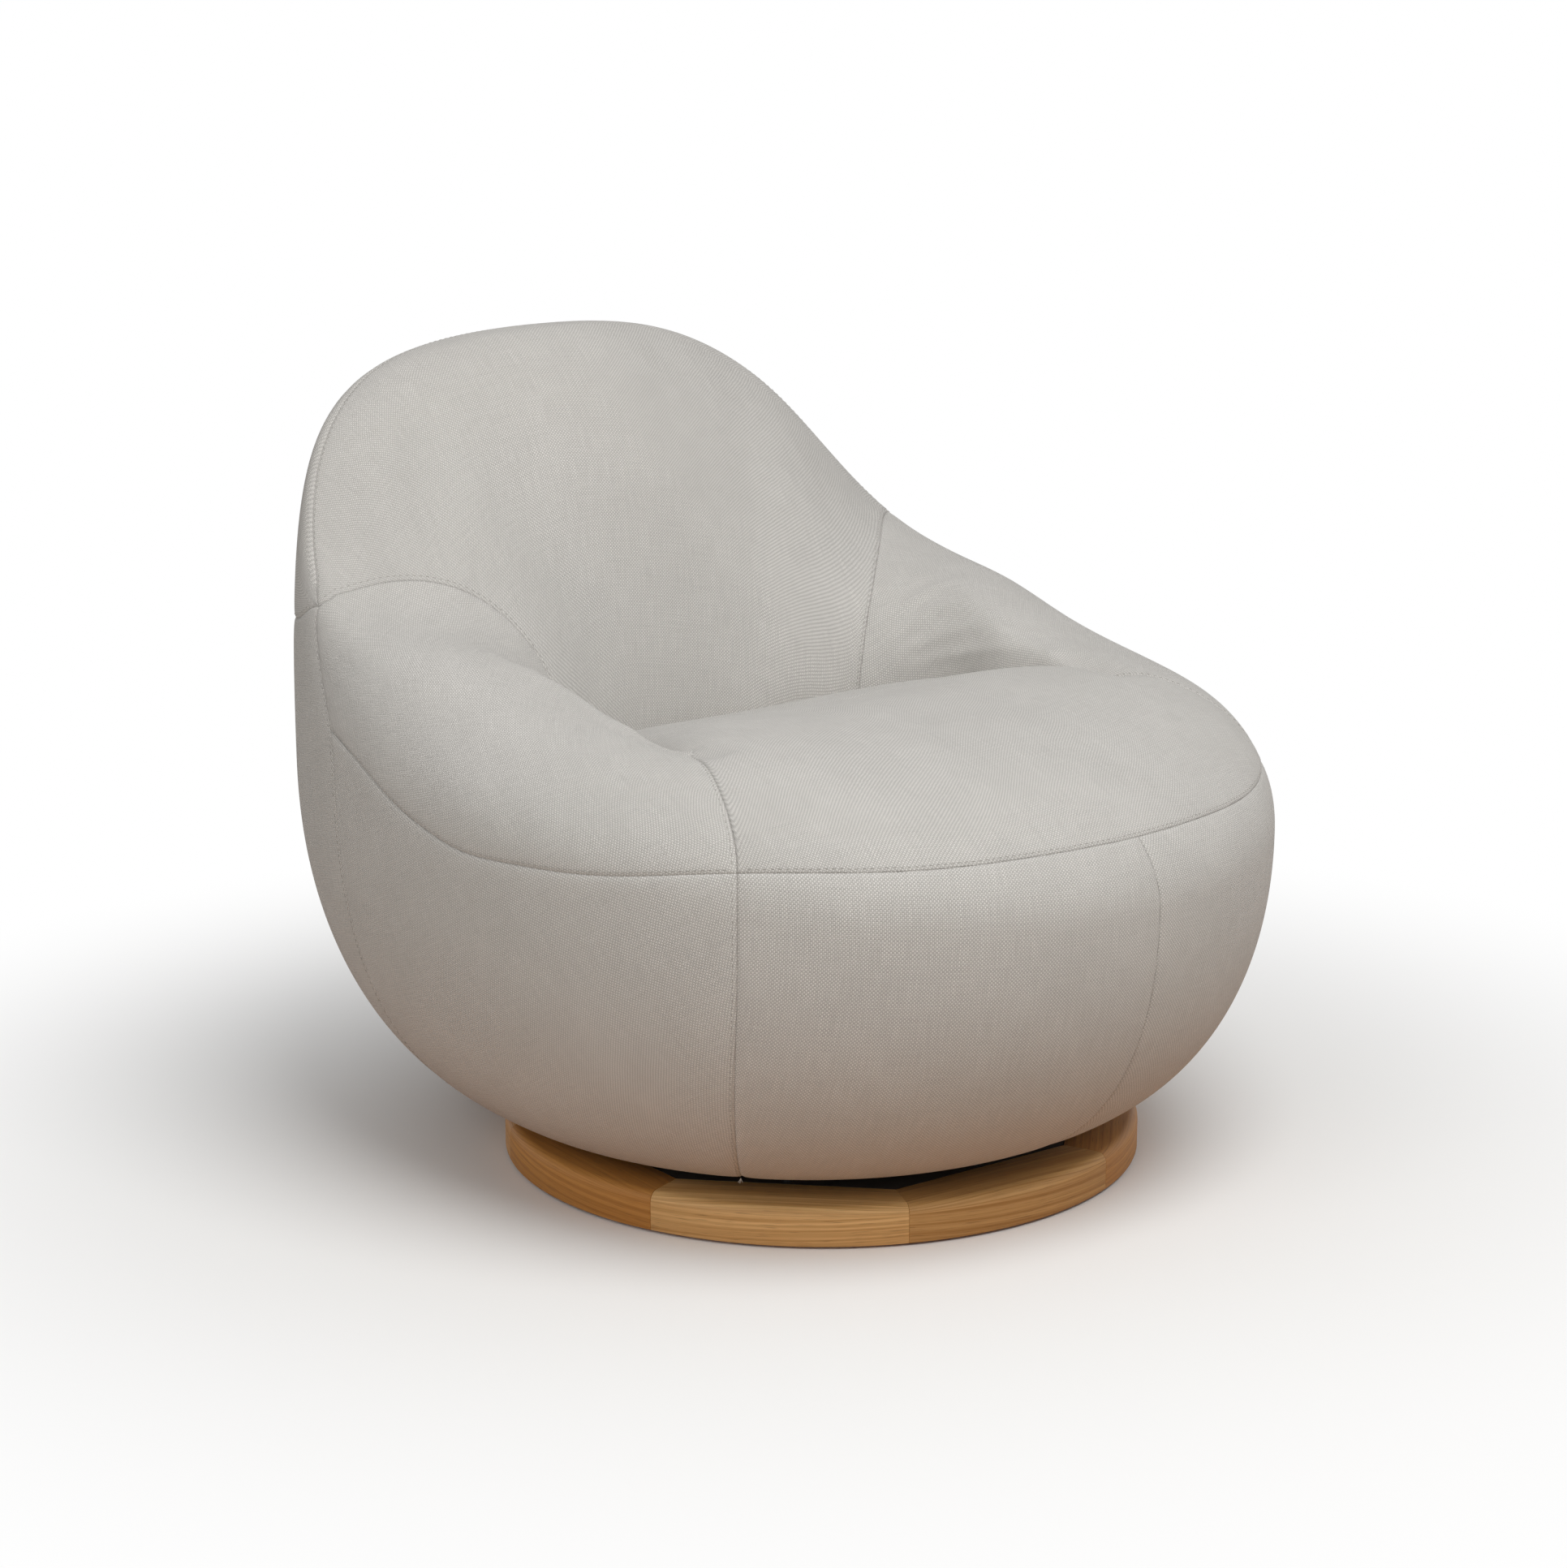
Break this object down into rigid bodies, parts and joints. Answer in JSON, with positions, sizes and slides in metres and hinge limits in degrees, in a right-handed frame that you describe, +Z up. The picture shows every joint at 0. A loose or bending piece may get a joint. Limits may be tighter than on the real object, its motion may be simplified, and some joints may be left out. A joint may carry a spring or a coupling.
{
  "type": "swivel lounge chair",
  "caption": "Low rounded lounge chair with a bulging upholstered tub, sloping arms and a tall back, that swivels on a wooden ring base.",
  "frame": {"origin": "on the floor, on the swivel axis, at the middle of the wooden ring", "axes": "+Z up along the swivel axis, -Y the way the sitter faces at rest, +X the sitter's left"},
  "size_m": [0.8026, 0.8893, 0.7139],
  "materials": {
    "cover_cloth": "light warm grey basket-weave wool blend, matt",
    "foam": "cut and moulded polyurethane foam",
    "dust_cloth": "black non-woven cloth",
    "felt": "pressed brown felt",
    "ring_wood": "oiled solid hardwood, mid brown, fine grain",
    "plywood": "raw birch plywood",
    "zinc_steel": "zinc-plated pressed steel",
    "screw_steel": "zinc-plated steel",
    "ball_steel": "polished bearing steel",
    "cage_plastic": "natural nylon",
    "black_tube": "black powder coat"
  },
  "bodies": {
    "base": {"felt_ring": "felt", "ring_segment_1": "ring_wood", "ring_segment_2": "ring_wood", "ring_segment_3": "ring_wood", "ring_segment_4": "ring_wood", "ring_segment_5": "ring_wood", "ring_segment_6": "ring_wood", "ring_segment_7": "ring_wood", "ring_segment_8": "ring_wood", "segment_tongues": "ring_wood", "base_board": "plywood", "base_board_screws": "screw_steel", "swivel_lower_plate": "zinc_steel", "lower_plate_screws": "screw_steel"},
    "cage": {"ball_cage": "cage_plastic", "bearing_balls": "ball_steel"},
    "seat": {"swivel_upper_plate": "zinc_steel", "upper_plate_screws": "screw_steel", "pivot_pin": "screw_steel", "pivot_washer": "screw_steel", "pivot_nut": "screw_steel", "seat_deck": "plywood", "dust_cloth": "dust_cloth", "back_hoop": "black_tube", "hoop_feet": "zinc_steel", "hoop_foot_screws": "screw_steel", "core_foam": "foam", "front_foam": "foam", "left_side_foam": "foam", "right_side_foam": "foam", "back_foam": "foam", "seat_foam": "foam", "seat_cover": "cover_cloth", "left_arm_cover": "cover_cloth", "right_arm_cover": "cover_cloth", "left_side_cover": "cover_cloth", "right_side_cover": "cover_cloth", "inner_back_cover": "cover_cloth", "outer_back_cover": "cover_cloth", "rear_lower_cover": "cover_cloth", "left_front_cover": "cover_cloth", "right_front_cover": "cover_cloth"}
  },
  "joints": [
    {"name": "seat_swivel", "type": "hinge", "parent": "base", "child": "seat", "pos_m": [0, 0, 0.04], "axis": [0, 0, 1], "continuous": true},
    {"name": "cage_spin", "type": "hinge", "parent": "base", "child": "cage", "pos_m": [0, 0, 0.04], "axis": [0, 0, 1], "continuous": true}
  ],
  "couplings": [
    {"joint": "cage_spin", "follows": "seat_swivel", "ratio": 0.5}
  ]
}
